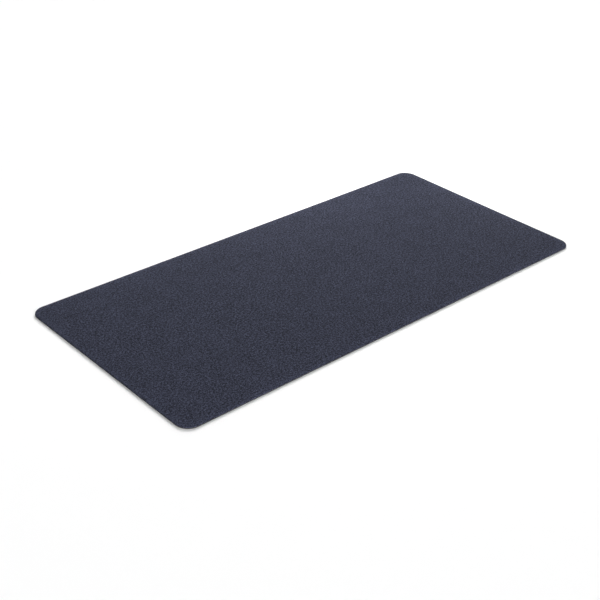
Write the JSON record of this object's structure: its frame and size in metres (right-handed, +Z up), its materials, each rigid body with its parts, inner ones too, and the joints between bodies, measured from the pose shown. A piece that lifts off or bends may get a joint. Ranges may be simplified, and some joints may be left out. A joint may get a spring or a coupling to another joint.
{
  "type": "desk mat",
  "caption": "Thin rectangular desk mat with rounded corners: a heathered felt working surface bonded to a non-slip rubber base.",
  "frame": {"origin": "on the desk, under the middle of the mat (bottom centre of the rubber base)", "axes": "+X along the mat's length, +Y along its width away from the user, +Z up out of the felt"},
  "size_m": [0.9, 0.43, 0.0035],
  "materials": {
    "felt": "matt heathered charcoal-navy felt, short fibrous nap",
    "adhesive": "translucent hot-melt film, satin",
    "rubber": "matt black rubber"
  },
  "bodies": {
    "root": {"felt_top": "felt", "adhesive_film": "adhesive", "rubber_base": "rubber"}
  },
  "joints": []
}
